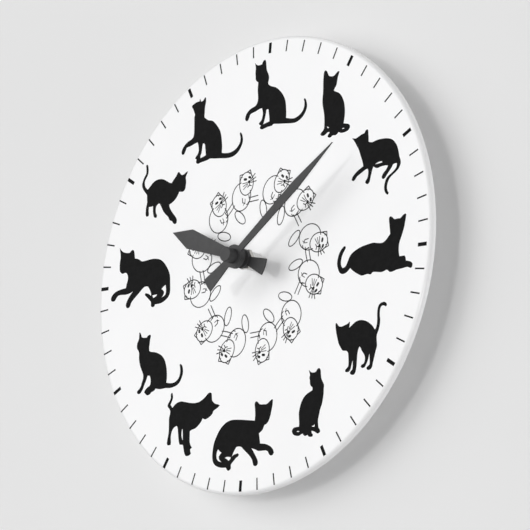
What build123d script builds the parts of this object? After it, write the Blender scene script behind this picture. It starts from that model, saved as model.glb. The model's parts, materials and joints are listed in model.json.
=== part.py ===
from build123d import *
import math
import os

os.makedirs("parts", exist_ok=True)

# Round wall clock: a printed acrylic disc in front of a quartz movement, with two hands.
# Millimetres. +X is 3 o'clock, +Z is 12 o'clock and +Y points into the wall. The origin is
# on the hands' axis, in the plane of the wall. A depth is the distance out from the wall,
# so that y = -depth.

# ---- driving dimensions ----
DIAL_R = 136.5
DIAL_THICK = 4.0
DIAL_ROUND = 2.5
DIAL_HOLE_R = 4.15

CASE_HALF = 28.0
CASE_DEPTH = 17.0
CASE_WALL = 1.2
CASE_FRONT_WALL = 1.5
LID_THICK = 1.5
DIVIDER_TOP = -11.3
DIVIDER_THICK = 0.8

GASKET_R = 22.0
GASKET_THICK = 1.0

# Radii of the four coaxial shafts, from the inside out, with 0.05 mm running clearance.
RUNNING = 0.05
PRESS = 0.02
SECOND_ARBOR_R = 0.6
MINUTE_PIPE_R = 1.5
HOUR_PIPE_R = 2.5
BUSH_R = 4.0
PIVOT_R = 0.35

# Heights above the dial's front face.
NUT_BACK = 7.8
NUT_FRONT = 10.2
HOUR_BACK = 10.9
HOUR_FRONT = 11.9
HOUR_BOSS_FRONT = 12.6
HOUR_PIPE_TOP = 12.9
MINUTE_BOSS_BACK = 16.2
MINUTE_BACK = 18.7
MINUTE_FRONT = 19.6
CAP_FRONT = 26.0

SLEEVE_R = 5.3
NUT_FLATS = 11.0
THREAD_PITCH = 0.75
THREAD_GROOVE = 0.3
BUSH_FLANGE_R = 6.5
BUSH_FLANGE_THICK = 0.8

# Hands: how far they reach from the axis, and their half widths.
HOUR_ANGLE = 289.7
HOUR_TIP = 65.1
HOUR_WIDEST = 49.0
HOUR_HALF_WIDE = 6.0
HOUR_HALF_ROOT = 1.7
HOUR_TAIL = 19.9
HOUR_HALF_TAIL = 4.9
HOUR_BOSS_R = 5.8
MINUTE_ANGLE = 51.7
MINUTE_TIP = 94.6
MINUTE_WIDEST = 60.0
MINUTE_HALF_WIDE = 2.9
MINUTE_HALF_ROOT = 1.9
MINUTE_TAIL = 25.6
MINUTE_HALF_TAIL = 4.6
MINUTE_BOSS_R = 6.9
CAP_R = 4.4
CAP_ROUND = 0.5
CAP_FLOOR = 2.5
PIPE_SHORT_OF_CAP = 2.9
ARBOR_SHORT_OF_CAP = 3.2

# Gears: tooth counts and modules of each meshing pair, pinion first.
MOTION_MODULE = 0.5
CANNON_TEETH = 12
MINUTE_TEETH = 36
KNOB_TEETH = 12
HOUR_MODULE = 0.48
MINUTE_PINION_TEETH = 10
HOUR_TEETH = 40
ROTOR_MODULE = 0.3
ROTOR_TEETH = 8
INTERMEDIATE_TEETH = 48
SECOND_MODULE = 0.32
INTERMEDIATE_PINION_TEETH = 10
SECOND_TEETH = 50
THIRD_MODULE = 0.36
SECOND_PINION_TEETH = 8
THIRD_TEETH = 60
CENTRE_MODULE = 0.34
THIRD_PINION_TEETH = 8
CENTRE_TEETH = 64
PRESSURE_ANGLE = math.radians(20)
BACKLASH = 0.08
DEDENDUM = 1.25
FLANK_STEPS = 3

# Profile shifts of the meshing pairs, and the cut-down tips of the small pinions.
MOTION_SHIFT = 0.3
PINION_SHIFT = 0.5
LOW_SHIFT = 0.4
SMALL_TIP = 0.8
LOW_TIP = 0.9

KNOB_R = 5.5
KNOB_SHAFT_R = 1.25
KNOB_NOTCHES = 18
KNOB_NOTCH_R = 0.55
MINUTE_STUD_R = 0.8
MAGNET_R = 3.0
MAGNET_HUB_R = 0.9
INTERMEDIATE_ARBOR_R = 0.9
CENTRE_HUB_R = 2.6
PIVOT_HOLE_R = PIVOT_R + RUNNING
PEG_R = 0.8
PEG_SHOULDER_R = 1.3
PEG_OUT = 0.4
PILLAR_R = 1.5

BATTERY_R = 7.25
BATTERY_LENGTH = 50.5
BATTERY_NUB_R = 2.75
BATTERY_NUB = 1.5
BATTERY_ROUND = 0.6
BATTERY_DEPTH = BATTERY_R + 0.8
STRIP = 0.3
COIL_R = 3.2
CORE_HOLE_R = 1.35
BOBBIN_R = 1.75
CHEEK = 0.6
COIL_Z = (8.6, 23.6)

HANGER_HALF = 9.0
HANGER_THICK = 1.0
HANGER_TOP = 41.0
HANGER_HOLE_Z = 34.5
HANGER_HOLE_R = 2.5
HANGER_PEG = (0.0, 25.0)
HANGER_PEG_R = 1.0

# ---- derived depths ----
DIAL_BACK = CASE_DEPTH + GASKET_THICK
FACE = DIAL_BACK + DIAL_THICK
FRONT_WALL = CASE_DEPTH - CASE_FRONT_WALL
INNER = CASE_HALF - CASE_WALL
DIVIDER_BOTTOM = DIVIDER_TOP - DIVIDER_THICK

# Depths of the movement's layers, from the back to the front.
BRIDGE = (3.0, 4.0)
ROTOR_PINION = (4.6, 5.9)
INTERMEDIATE_WHEEL = (4.8, 5.6)
BOARD = (6.0, 7.0)
MAGNET = (6.4, 9.3)
INTERMEDIATE_PINION = (6.5, 7.9)
SECOND_WHEEL = (6.8, 7.6)
STATOR = (7.4, 8.2)
SECOND_PINION = (8.3, 9.6)
THIRD_WHEEL = (8.6, 9.4)
PLATE = (9.8, 10.4)
THIRD_PINION = (10.55, 11.7)
CENTRE_WHEEL = (10.7, 11.5)
CENTRE_HUB = (10.6, 11.9)
MOTION_WHEEL = (12.2, 13.4)
MOTION_PINION = (12.2, 13.5)
MINUTE_PINION = (13.4, 15.2)
HOUR_WHEEL = (13.9, 15.1)
KNOB_DEPTHS = (0.4, 2.6)
KNOB_SHAFT_TOP = 15.2
KNOB_SOCKET = (14.0, FRONT_WALL)
THIRD_BOSS = (12.1, FRONT_WALL)
THIRD_BOSS_HOLE = 13.4
CONTACT_SLOT = (3.7, 7.6)
CONTACT_DEPTHS = (4.0, BOARD[1] + STRIP)
CONTACT_PLATE_DEPTHS = (3.0, 13.0)
CONTACT_ON_BOARD = (BOARD[1], BOARD[1] + STRIP)
BRIDGE_END = BRIDGE[0] + 0.1
BRIDGE_SHOULDER = BRIDGE[1] + 0.4
PLATE_END = PLATE[1] - 0.1


def polar(angle_deg, radius, start=(0.0, 0.0)):
    """Point at an angle counterclockwise from +X, seen from the front."""
    angle = math.radians(angle_deg)
    return (start[0] + radius * math.cos(angle), start[1] + radius * math.sin(angle))


# ---- places of the arbors, as (x, z) ----
CENTRE = (0.0, 0.0)
MINUTE_AXIS = polar(150, MOTION_MODULE * (CANNON_TEETH + MINUTE_TEETH) / 2)
KNOB_AXIS = polar(240, MOTION_MODULE * (MINUTE_TEETH + KNOB_TEETH) / 2, MINUTE_AXIS)
THIRD_AXIS = polar(75, THIRD_MODULE * (SECOND_PINION_TEETH + THIRD_TEETH) / 2)
SECOND_CENTRES = SECOND_MODULE * (INTERMEDIATE_PINION_TEETH + SECOND_TEETH) / 2
INTERMEDIATE_AXIS = polar(-15, SECOND_CENTRES)
ROTOR_CENTRES = ROTOR_MODULE * (ROTOR_TEETH + INTERMEDIATE_TEETH) / 2
ROTOR_AXIS = polar(40, ROTOR_CENTRES, INTERMEDIATE_AXIS)
PILLARS = [(-9.5, -4.0), (20.5, -6.0), (14.2, 19.4), (-10.5, 14.0)]
STATOR_PEGS = [(17.8, 22.5), (20.0, 6.7)]
BOARD_PEGS = [(-24.0, 23.8), (-14.2, 5.2)]
COIL_X = 22.6
COIL_DEPTH = (STATOR[0] + STATOR[1]) / 2
BATTERY_Z = (DIVIDER_BOTTOM - INNER) / 2
BATTERY_END = INNER - 0.1 - STRIP
CONTACT_TOP = -10.3
BOARD_X = (-25.6, -12.6)
BOARD_Z = (3.5, 25.5)
CORNER_POSTS = [(-25.0, 25.2, 1.2), (25.0, 25.2, 1.2), (-24.5, -8.5, 1.8), (24.5, -8.5, 1.8)]


def facing(x, z, depth):
    """Sketch plane that faces the front, with its own x along +X and its own y along +Z."""
    return Plane(origin=(x, -depth, z), x_dir=(1, 0, 0), z_dir=(0, -1, 0))


def disc(place, depths, radius, hole=0.0):
    """Round piece about the +Y direction, with an optional hole through it."""
    outline = Circle(radius)
    if hole > 0:
        outline -= Circle(hole)
    return extrude(facing(place[0], place[1], depths[0]) * outline, depths[1] - depths[0])


def slab(x_range, z_range, depths):
    """Box between two limits along x, z and depth."""
    size = (x_range[1] - x_range[0], depths[1] - depths[0], z_range[1] - z_range[0])
    middle = (sum(x_range) / 2, -sum(depths) / 2, sum(z_range) / 2)
    return Pos(*middle) * Box(*size)


def upright(place, z_range, radius, hole=0.0):
    """Round piece along +Z at a place given as (x, depth)."""
    outline = Circle(radius)
    if hole > 0:
        outline -= Circle(hole)
    base = Plane(origin=(place[0], -place[1], z_range[0]))
    return extrude(base * outline, z_range[1] - z_range[0])


def along_x(z, depth, x_range, radius):
    """Round bar along +X."""
    base = Plane(origin=(x_range[0], -depth, z), x_dir=(0, 1, 0), z_dir=(1, 0, 0))
    return extrude(base * Circle(radius), x_range[1] - x_range[0])


def involute(angle):
    return math.tan(angle) - angle


def gear(place, depths, teeth, module, shift=0.0, phase=0.0, hole=0.0, addendum=1.0):
    """Spur gear with straight-sided steps along its involute flanks.

    phase is the direction of one tooth's middle, in radians from +X, seen from the front.
    """
    pitch_r = module * teeth / 2
    base_r = pitch_r * math.cos(PRESSURE_ANGLE)
    root_r = pitch_r - module * (DEDENDUM - shift)
    tip_r = pitch_r + module * (addendum + shift)
    thickness = module * (math.pi / 2 + 2 * shift * math.tan(PRESSURE_ANGLE)) - BACKLASH
    start_r = max(base_r, root_r)
    flank = []
    for step in range(FLANK_STEPS + 1):
        radius = start_r + (tip_r - start_r) * step / FLANK_STEPS
        half = thickness / (2 * pitch_r) + involute(PRESSURE_ANGLE)
        half -= involute(math.acos(base_r / radius))
        flank.append((radius, half))
    if root_r < base_r:
        flank.insert(0, (root_r, flank[0][1]))
    points = []
    for tooth in range(teeth):
        middle = phase + 2 * math.pi * tooth / teeth
        for radius, half in flank:
            points.append((radius * math.cos(middle - half), radius * math.sin(middle - half)))
        for radius, half in reversed(flank):
            points.append((radius * math.cos(middle + half), radius * math.sin(middle + half)))
    outline = make_face(Polyline(*points, close=True))
    if hole > 0:
        outline -= Circle(hole)
    return extrude(facing(place[0], place[1], depths[0]) * outline, depths[1] - depths[0])


def mating_phase(place, teeth, phase, other_place, other_teeth):
    """Phase that puts a gap of the other gear on a tooth of this one."""
    towards = math.atan2(other_place[1] - place[1], other_place[0] - place[0])
    return towards + math.pi + (math.pi - (phase - towards) * teeth) / other_teeth


def save(name, shape):
    export_step(shape, f"parts/{name}.step")


# ---- dial and what clamps it ----
def dial_disc():
    disc_solid = disc(CENTRE, (DIAL_BACK, FACE), DIAL_R, DIAL_HOLE_R)
    front_edges = disc_solid.edges().filter_by(GeomType.CIRCLE).group_by(Axis.Y)[0]
    front_rim = front_edges.sort_by(SortBy.RADIUS)[-1]
    return fillet(front_rim, DIAL_ROUND)


def rubber_gasket():
    return disc(CENTRE, (CASE_DEPTH, DIAL_BACK), GASKET_R, BUSH_R + 0.3)


def spacer_sleeve():
    return disc(CENTRE, (FACE, FACE + NUT_BACK), SLEEVE_R, BUSH_R + 0.1)


def hex_nut():
    outline = RegularPolygon(NUT_FLATS / 2, 6, major_radius=False) - Circle(BUSH_R + PRESS)
    nut = extrude(facing(0, 0, FACE + NUT_BACK) * outline, NUT_FRONT - NUT_BACK)
    # The corners are turned down to a cone at the front face.
    corner_r = NUT_FLATS / 2 / math.cos(math.pi / 6)
    cone_depth = corner_r - NUT_FLATS / 2
    cone_base = facing(0, 0, FACE + NUT_FRONT - cone_depth)
    chamfer_cone = extrude(cone_base * Circle(corner_r + 0.1), cone_depth, taper=45)
    below = disc(CENTRE, (FACE + NUT_BACK, FACE + NUT_FRONT - cone_depth), corner_r + 0.1)
    return nut & (below + chamfer_cone)


def threaded_bush():
    """Brass bush with thread grooves as rings, a plain bore and a flange inside the case."""
    top = FACE + NUT_FRONT + 0.1
    flange = (FRONT_WALL, FRONT_WALL + BUSH_FLANGE_THICK)
    bush = disc(CENTRE, (FRONT_WALL, top), BUSH_R, HOUR_PIPE_R + RUNNING)
    bush += disc(CENTRE, flange, BUSH_FLANGE_R, HOUR_PIPE_R + RUNNING)
    for turn in range(int((top - CASE_DEPTH) / THREAD_PITCH)):
        at = CASE_DEPTH + THREAD_PITCH * (turn + 0.5)
        bush -= disc(CENTRE, (at, at + THREAD_GROOVE), BUSH_R + 1, BUSH_R - THREAD_GROOVE)
    return bush


# ---- hands ----
def hand(angle, tip, widest, half_wide, half_root, tail, half_tail, boss_r, hole, back, front, boss):
    """Flat tapered hand with a shorter tail that widens to an arc, on a round boss.

    angle is clockwise from 12 o'clock, seen from the front; boss is the boss's own depths.
    """
    tail_edge = math.sqrt(tail ** 2 - half_tail ** 2)
    outline = Polyline(
        (-half_tail, -tail_edge),
        (-half_root, 0),
        (-half_wide, widest),
        (0, tip),
        (half_wide, widest),
        (half_root, 0),
        (half_tail, -tail_edge),
    )
    end = ThreePointArc((half_tail, -tail_edge), (0, -tail), (-half_tail, -tail_edge))
    face = make_face(outline + end)
    blade = extrude(facing(0, 0, back) * (Rot(0, 0, -angle) * face), front - back)
    piece = blade + disc(CENTRE, boss, boss_r)
    return piece - disc(CENTRE, (boss[0] - 1, boss[1] + 1), hole)


def hour_hand():
    return hand(
        HOUR_ANGLE, HOUR_TIP, HOUR_WIDEST, HOUR_HALF_WIDE, HOUR_HALF_ROOT, HOUR_TAIL, HOUR_HALF_TAIL,
        HOUR_BOSS_R, HOUR_PIPE_R, FACE + HOUR_BACK, FACE + HOUR_FRONT,
        (FACE + HOUR_BACK, FACE + HOUR_BOSS_FRONT),
    )


def minute_hand():
    return hand(
        MINUTE_ANGLE, MINUTE_TIP, MINUTE_WIDEST, MINUTE_HALF_WIDE, MINUTE_HALF_ROOT, MINUTE_TAIL,
        MINUTE_HALF_TAIL, MINUTE_BOSS_R, MINUTE_PIPE_R, FACE + MINUTE_BACK, FACE + MINUTE_FRONT,
        (FACE + MINUTE_BOSS_BACK, FACE + MINUTE_FRONT),
    )


def hand_cap():
    """Blind nut that closes the front of the shaft and holds the minute hand."""
    cap = disc(CENTRE, (FACE + MINUTE_FRONT, FACE + CAP_FRONT), CAP_R)
    front_edge = cap.edges().filter_by(GeomType.CIRCLE).group_by(Axis.Y)[0]
    cap = fillet(front_edge, CAP_ROUND)
    return cap - disc(CENTRE, (FACE + MINUTE_FRONT, FACE + CAP_FRONT - CAP_FLOOR), MINUTE_PIPE_R)


# ---- motion work, on the hands' axis and beside it ----
CANNON_PHASE = 0.0
MINUTE_PHASE = mating_phase(CENTRE, CANNON_TEETH, CANNON_PHASE, MINUTE_AXIS, MINUTE_TEETH)
KNOB_PHASE = mating_phase(MINUTE_AXIS, MINUTE_TEETH, MINUTE_PHASE, KNOB_AXIS, KNOB_TEETH)
HOUR_PHASE = mating_phase(MINUTE_AXIS, MINUTE_PINION_TEETH, 0.0, CENTRE, HOUR_TEETH)


def cannon_pinion():
    """Minute pipe with its pinion; the second arbor runs through it."""
    bore = SECOND_ARBOR_R + RUNNING
    pipe = disc(CENTRE, (PLATE[1] + 0.1, FACE + CAP_FRONT - PIPE_SHORT_OF_CAP), MINUTE_PIPE_R, bore)
    pinion = gear(CENTRE, MOTION_PINION, CANNON_TEETH, MOTION_MODULE, MOTION_SHIFT, CANNON_PHASE, bore)
    return pipe + pinion


def minute_wheel():
    bore = MINUTE_STUD_R + RUNNING
    axis = MINUTE_AXIS
    wheel = gear(axis, MOTION_WHEEL, MINUTE_TEETH, MOTION_MODULE, -MOTION_SHIFT, MINUTE_PHASE, bore)
    pinion = gear(
        axis, MINUTE_PINION, MINUTE_PINION_TEETH, HOUR_MODULE, LOW_SHIFT, 0.0, bore, LOW_TIP,
    )
    return wheel + pinion


def hour_wheel():
    """Hour wheel with the hour pipe, which runs in the bush."""
    bore = MINUTE_PIPE_R + RUNNING
    wheel = gear(CENTRE, HOUR_WHEEL, HOUR_TEETH, HOUR_MODULE, -LOW_SHIFT, HOUR_PHASE, bore)
    pipe = disc(CENTRE, (HOUR_WHEEL[0], FACE + HOUR_PIPE_TOP), HOUR_PIPE_R, bore)
    return wheel + pipe


def setting_knob():
    """Notched wheel at the back that turns the hands through the minute wheel."""
    knob = disc(KNOB_AXIS, KNOB_DEPTHS, KNOB_R)
    for notch in range(KNOB_NOTCHES):
        spot = polar(360 * notch / KNOB_NOTCHES, KNOB_R + 0.2, KNOB_AXIS)
        knob -= disc(spot, KNOB_DEPTHS, KNOB_NOTCH_R)
    shaft = disc(KNOB_AXIS, (KNOB_DEPTHS[1], KNOB_SHAFT_TOP), KNOB_SHAFT_R)
    pinion = gear(KNOB_AXIS, MOTION_PINION, KNOB_TEETH, MOTION_MODULE, MOTION_SHIFT, KNOB_PHASE)
    return knob + shaft + pinion


# ---- going train ----
INTERMEDIATE_PHASE = mating_phase(ROTOR_AXIS, ROTOR_TEETH, 0.0, INTERMEDIATE_AXIS, INTERMEDIATE_TEETH)
SECOND_PHASE = mating_phase(INTERMEDIATE_AXIS, INTERMEDIATE_PINION_TEETH, 0.0, CENTRE, SECOND_TEETH)
THIRD_PHASE = mating_phase(CENTRE, SECOND_PINION_TEETH, 0.0, THIRD_AXIS, THIRD_TEETH)
CENTRE_PHASE = mating_phase(THIRD_AXIS, THIRD_PINION_TEETH, 0.0, CENTRE, CENTRE_TEETH)


def rotor():
    pinion = gear(ROTOR_AXIS, ROTOR_PINION, ROTOR_TEETH, ROTOR_MODULE, PINION_SHIFT, addendum=SMALL_TIP)
    hub = disc(ROTOR_AXIS, (ROTOR_PINION[1], MAGNET[1] + 0.1), MAGNET_HUB_R)
    return pinion + hub + disc(ROTOR_AXIS, (BRIDGE_END, PLATE_END), PIVOT_R)


def rotor_magnet():
    return disc(ROTOR_AXIS, MAGNET, MAGNET_R, MAGNET_HUB_R)


def intermediate_wheel():
    axis = INTERMEDIATE_AXIS
    wheel = gear(
        axis, INTERMEDIATE_WHEEL, INTERMEDIATE_TEETH, ROTOR_MODULE, -PINION_SHIFT, INTERMEDIATE_PHASE,
    )
    pinion = gear(
        axis, INTERMEDIATE_PINION, INTERMEDIATE_PINION_TEETH, SECOND_MODULE, LOW_SHIFT, addendum=LOW_TIP,
    )
    arbor = disc(axis, (INTERMEDIATE_WHEEL[1], INTERMEDIATE_PINION[0]), INTERMEDIATE_ARBOR_R)
    return wheel + pinion + arbor + disc(axis, (BRIDGE_END, PLATE_END), PIVOT_R)


def second_wheel():
    """Wheel that turns once a minute; its long arbor ends under the cap."""
    wheel = gear(CENTRE, SECOND_WHEEL, SECOND_TEETH, SECOND_MODULE, -LOW_SHIFT, SECOND_PHASE)
    pinion = gear(
        CENTRE, SECOND_PINION, SECOND_PINION_TEETH, THIRD_MODULE, PINION_SHIFT, addendum=SMALL_TIP,
    )
    arbor = disc(CENTRE, (BRIDGE_SHOULDER, FACE + CAP_FRONT - ARBOR_SHORT_OF_CAP), SECOND_ARBOR_R)
    return wheel + pinion + arbor + disc(CENTRE, (BRIDGE_END, BRIDGE_SHOULDER), PIVOT_R)


def third_wheel():
    axis = THIRD_AXIS
    wheel = gear(axis, THIRD_WHEEL, THIRD_TEETH, THIRD_MODULE, -PINION_SHIFT, THIRD_PHASE)
    pinion = gear(
        axis, THIRD_PINION, THIRD_PINION_TEETH, CENTRE_MODULE, PINION_SHIFT, addendum=SMALL_TIP,
    )
    arbor = disc(axis, (BRIDGE_SHOULDER, THIRD_PINION[0]), SECOND_ARBOR_R)
    return wheel + pinion + arbor + disc(axis, (BRIDGE_END, THIRD_BOSS_HOLE - 0.2), PIVOT_R)


def centre_wheel():
    """Wheel that turns once an hour, gripped on the minute pipe by friction."""
    bore = MINUTE_PIPE_R + RUNNING
    wheel = gear(CENTRE, CENTRE_WHEEL, CENTRE_TEETH, CENTRE_MODULE, -PINION_SHIFT, CENTRE_PHASE, bore)
    return wheel + disc(CENTRE, CENTRE_HUB, CENTRE_HUB_R, bore)


# ---- frame of the movement ----
def case_front():
    """Moulded box that is open at the back, with the battery bay below the gear chamber."""
    outside = (-CASE_HALF, CASE_HALF)
    inside = (-INNER, INNER)
    shell = slab(outside, outside, (0, CASE_DEPTH))
    shell = fillet(shell.edges().filter_by(Axis.Y), 2.0)
    shell = fillet(shell.edges().group_by(Axis.Y)[0], 0.8)
    shell -= slab(inside, (DIVIDER_TOP, INNER), (-1, FRONT_WALL))
    shell -= slab(inside, (-INNER, DIVIDER_BOTTOM), (-1, FRONT_WALL))
    shell -= slab((-CASE_HALF - 1, CASE_HALF + 1), (DIVIDER_BOTTOM, CASE_HALF + 1), (-1, LID_THICK))
    hanger_gap = LID_THICK + HANGER_THICK + RUNNING
    shell -= slab((-HANGER_HALF - 0.2, HANGER_HALF + 0.2), (INNER - 1, CASE_HALF + 1), (0, hanger_gap))
    for side in (-1, 1):
        slot = sorted((side * (INNER - 0.8), side * INNER))
        shell -= slab(slot, (DIVIDER_BOTTOM - 1, DIVIDER_TOP + 1), CONTACT_SLOT)
    for x, z, radius in CORNER_POSTS:
        shell += disc((x, z), (PLATE[1], FRONT_WALL), radius)
    shell += disc(MINUTE_AXIS, (PLATE[1], FRONT_WALL), MINUTE_STUD_R)
    shell += disc(THIRD_AXIS, THIRD_BOSS, 1.5)
    shell -= disc(THIRD_AXIS, (THIRD_BOSS[0], THIRD_BOSS_HOLE), PIVOT_HOLE_R)
    shell += disc(KNOB_AXIS, KNOB_SOCKET, 2.3)
    shell -= disc(KNOB_AXIS, (KNOB_SOCKET[0], KNOB_SHAFT_TOP + 0.1), KNOB_SHAFT_R + RUNNING)
    shell -= disc(CENTRE, (FRONT_WALL - 1, CASE_DEPTH + 1), BUSH_R + PRESS)
    return shell - disc(CENTRE, (FRONT_WALL - 1, FRONT_WALL + BUSH_FLANGE_THICK), BUSH_FLANGE_R + PRESS)


def case_back():
    """Snap-in lid over the gear chamber, with a hole for the setting knob."""
    lid = slab((-CASE_HALF, CASE_HALF), (DIVIDER_BOTTOM + 0.1, CASE_HALF), (0, LID_THICK))
    lid = fillet(lid.edges().filter_by(Axis.Y).group_by(Axis.Z)[-1], 2.0)
    lid -= disc(KNOB_AXIS, (-1, LID_THICK + 1), KNOB_R + 0.5)
    for x in (-17, 17):
        lid += slab((x - 3, x + 3), (INNER - 1.0, INNER - 0.1), (LID_THICK, 4.5))
    for x in (-5, 9):
        lid += slab((x - 3, x + 3), (DIVIDER_TOP + 0.1, DIVIDER_TOP + 1.0), (LID_THICK, 2.8))
    return lid + disc(HANGER_PEG, (LID_THICK, LID_THICK + HANGER_THICK), HANGER_PEG_R)


def hanger_bracket():
    """Steel plate that is trapped under the lid and hangs on a nail or screw."""
    depths = (LID_THICK, LID_THICK + HANGER_THICK)
    plate = slab((-HANGER_HALF, HANGER_HALF), (HANGER_PEG[1] - 1.5, HANGER_TOP), depths)
    plate = fillet(plate.edges().filter_by(Axis.Y).group_by(Axis.Z)[-1], 4.0)
    through = (depths[0] - 1, depths[1] + 1)
    plate -= disc((0, HANGER_HOLE_Z), through, HANGER_HOLE_R)
    return plate - disc(HANGER_PEG, through, HANGER_PEG_R + PRESS)


def middle_plate():
    """Plate between the going train and the motion work, with pillars and locating pegs."""
    through = (PLATE[0] - 1, PLATE[1] + 1)
    plate = slab((-26.5, 26.5), (-10.6, 26.5), PLATE)
    plate -= slab((19.0, 27.0), (8.2, 24.0), through)
    plate -= disc(CENTRE, through, SECOND_ARBOR_R + RUNNING)
    plate -= disc(THIRD_AXIS, through, 2.0)
    plate -= disc(KNOB_AXIS, through, KNOB_SHAFT_R + RUNNING)
    for axis in (ROTOR_AXIS, INTERMEDIATE_AXIS):
        plate -= disc(axis, through, PIVOT_HOLE_R)
    for place in PILLARS:
        plate += disc(place, (BRIDGE[1], PLATE[0]), PILLAR_R)
    for place in STATOR_PEGS:
        plate += disc(place, (STATOR[1], PLATE[0]), PEG_SHOULDER_R)
        plate += disc(place, (STATOR[0] - PEG_OUT, STATOR[1]), PEG_R)
    for place in BOARD_PEGS:
        plate += disc(place, (BOARD[1], PLATE[0]), PEG_SHOULDER_R)
        plate += disc(place, (BOARD[0] - PEG_OUT, BOARD[1]), PEG_R)
    return plate


def train_bridge():
    """Back bearing plate of the going train."""
    bridge = slab((-12.5, 22.5), (-8.5, 21.5), BRIDGE)
    bridge = fillet(bridge.edges().filter_by(Axis.Y), 2.0)
    for axis in (CENTRE, THIRD_AXIS, ROTOR_AXIS, INTERMEDIATE_AXIS):
        bridge -= disc(axis, (BRIDGE[0] - 1, BRIDGE[1] + 1), PIVOT_HOLE_R)
    return bridge


# ---- motor ----
def stator_plate():
    """Soft iron plate round the rotor, with the core that the coil sits on."""
    plate = disc(ROTOR_AXIS, STATOR, 5.2)
    plate += slab((16.6, 19.0), (6.0, 25.8), STATOR)
    plate += slab((16.6, 25.8), (5.2, 8.2), STATOR)
    plate += slab((16.6, 25.8), (24.0, 25.8), STATOR)
    plate += slab((COIL_X - 1.2, COIL_X + 1.2), (8.0, 24.2), STATOR)
    through = (STATOR[0] - 1, STATOR[1] + 1)
    plate -= disc(ROTOR_AXIS, through, 3.4)
    for place in STATOR_PEGS:
        plate -= disc(place, through, PEG_R + PRESS)
    return plate


def coil_bobbin():
    place = (COIL_X, COIL_DEPTH)
    bobbin = upright(place, COIL_Z, BOBBIN_R, CORE_HOLE_R)
    bobbin += upright(place, (COIL_Z[0], COIL_Z[0] + CHEEK), COIL_R, CORE_HOLE_R)
    return bobbin + upright(place, (COIL_Z[1] - CHEEK, COIL_Z[1]), COIL_R, CORE_HOLE_R)


def coil_winding():
    between = (COIL_Z[0] + CHEEK, COIL_Z[1] - CHEEK)
    return upright((COIL_X, COIL_DEPTH), between, COIL_R - 0.2, BOBBIN_R)


# ---- electronics ----
def circuit_board():
    board = slab(BOARD_X, BOARD_Z, BOARD)
    for place in BOARD_PEGS:
        board -= disc(place, (BOARD[0] - 1, BOARD[1] + 1), PEG_R + PRESS)
    return board


def chip_blob():
    blob = disc((-19.5, 13.5), (BOARD[0] - 1.1, BOARD[0]), 3.0)
    return fillet(blob.edges().filter_by(GeomType.CIRCLE).group_by(Axis.Y)[-1], 0.9)


def quartz_crystal():
    can = upright((-15.2, BOARD[0] - 1.0), (16.0, 22.0), 1.0)
    return fillet(can.edges().filter_by(GeomType.CIRCLE), 0.25)


# ---- battery and its contacts ----
def battery_cell():
    """AA cell with its positive end at +X."""
    body = (BATTERY_END - BATTERY_LENGTH, BATTERY_END - BATTERY_NUB)
    nub = (BATTERY_END - BATTERY_NUB - 1, BATTERY_END)
    can = along_x(BATTERY_Z, BATTERY_DEPTH, body, BATTERY_R)
    can = fillet(can.edges().filter_by(GeomType.CIRCLE), BATTERY_ROUND)
    return can + along_x(BATTERY_Z, BATTERY_DEPTH, nub, BATTERY_NUB_R)


def contact_positive():
    """End plate of the bay, with a strip along the divider to the board's front."""
    thick = (BATTERY_END, BATTERY_END + STRIP)
    plate = slab(thick, (-24.0, -14.5), CONTACT_PLATE_DEPTHS)
    plate += slab(thick, (-14.5, CONTACT_TOP), CONTACT_DEPTHS)
    plate += slab((-25.0, thick[1]), (CONTACT_TOP - STRIP, CONTACT_TOP), CONTACT_DEPTHS)
    return plate + slab((-25.0, -22.5), (CONTACT_TOP - STRIP, 5.0), CONTACT_ON_BOARD)


def contact_negative():
    """End plate with a sprung arch, and a strip up to the board's front."""
    back = -INNER + 0.1
    front = back + STRIP
    plate = slab((back, front), (-24.5, -14.5), CONTACT_PLATE_DEPTHS)
    plate += slab((back, front), (-14.5, 8.0), CONTACT_DEPTHS)
    plate += slab((back, -25.0), (6.0, 8.0), CONTACT_ON_BOARD)
    crest = BATTERY_END - BATTERY_LENGTH
    arch = Polyline(
        (front, BATTERY_Z + 4.6),
        (crest, BATTERY_Z + 0.8),
        (crest, BATTERY_Z - 0.8),
        (front, BATTERY_Z - 4.6),
        (front, BATTERY_Z - 4.1),
        (crest - STRIP, BATTERY_Z - 0.65),
        (crest - STRIP, BATTERY_Z + 0.65),
        (front, BATTERY_Z + 4.1),
        close=True,
    )
    return plate + extrude(facing(0, 0, 6.0) * make_face(arch), 4.0)


PARTS = [
    dial_disc, rubber_gasket, spacer_sleeve, hex_nut, threaded_bush,
    hour_hand, minute_hand, hand_cap,
    cannon_pinion, minute_wheel, hour_wheel, setting_knob,
    rotor, rotor_magnet, intermediate_wheel, second_wheel, third_wheel, centre_wheel,
    case_front, case_back, hanger_bracket, middle_plate, train_bridge,
    stator_plate, coil_bobbin, coil_winding,
    circuit_board, chip_blob, quartz_crystal,
    battery_cell, contact_positive, contact_negative,
]

for part in PARTS:
    save(part.__name__, part())
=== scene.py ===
import json
import math

import bmesh
import bpy
from mathutils import Matrix, Vector
from mathutils.geometry import delaunay_2d_cdt


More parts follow.
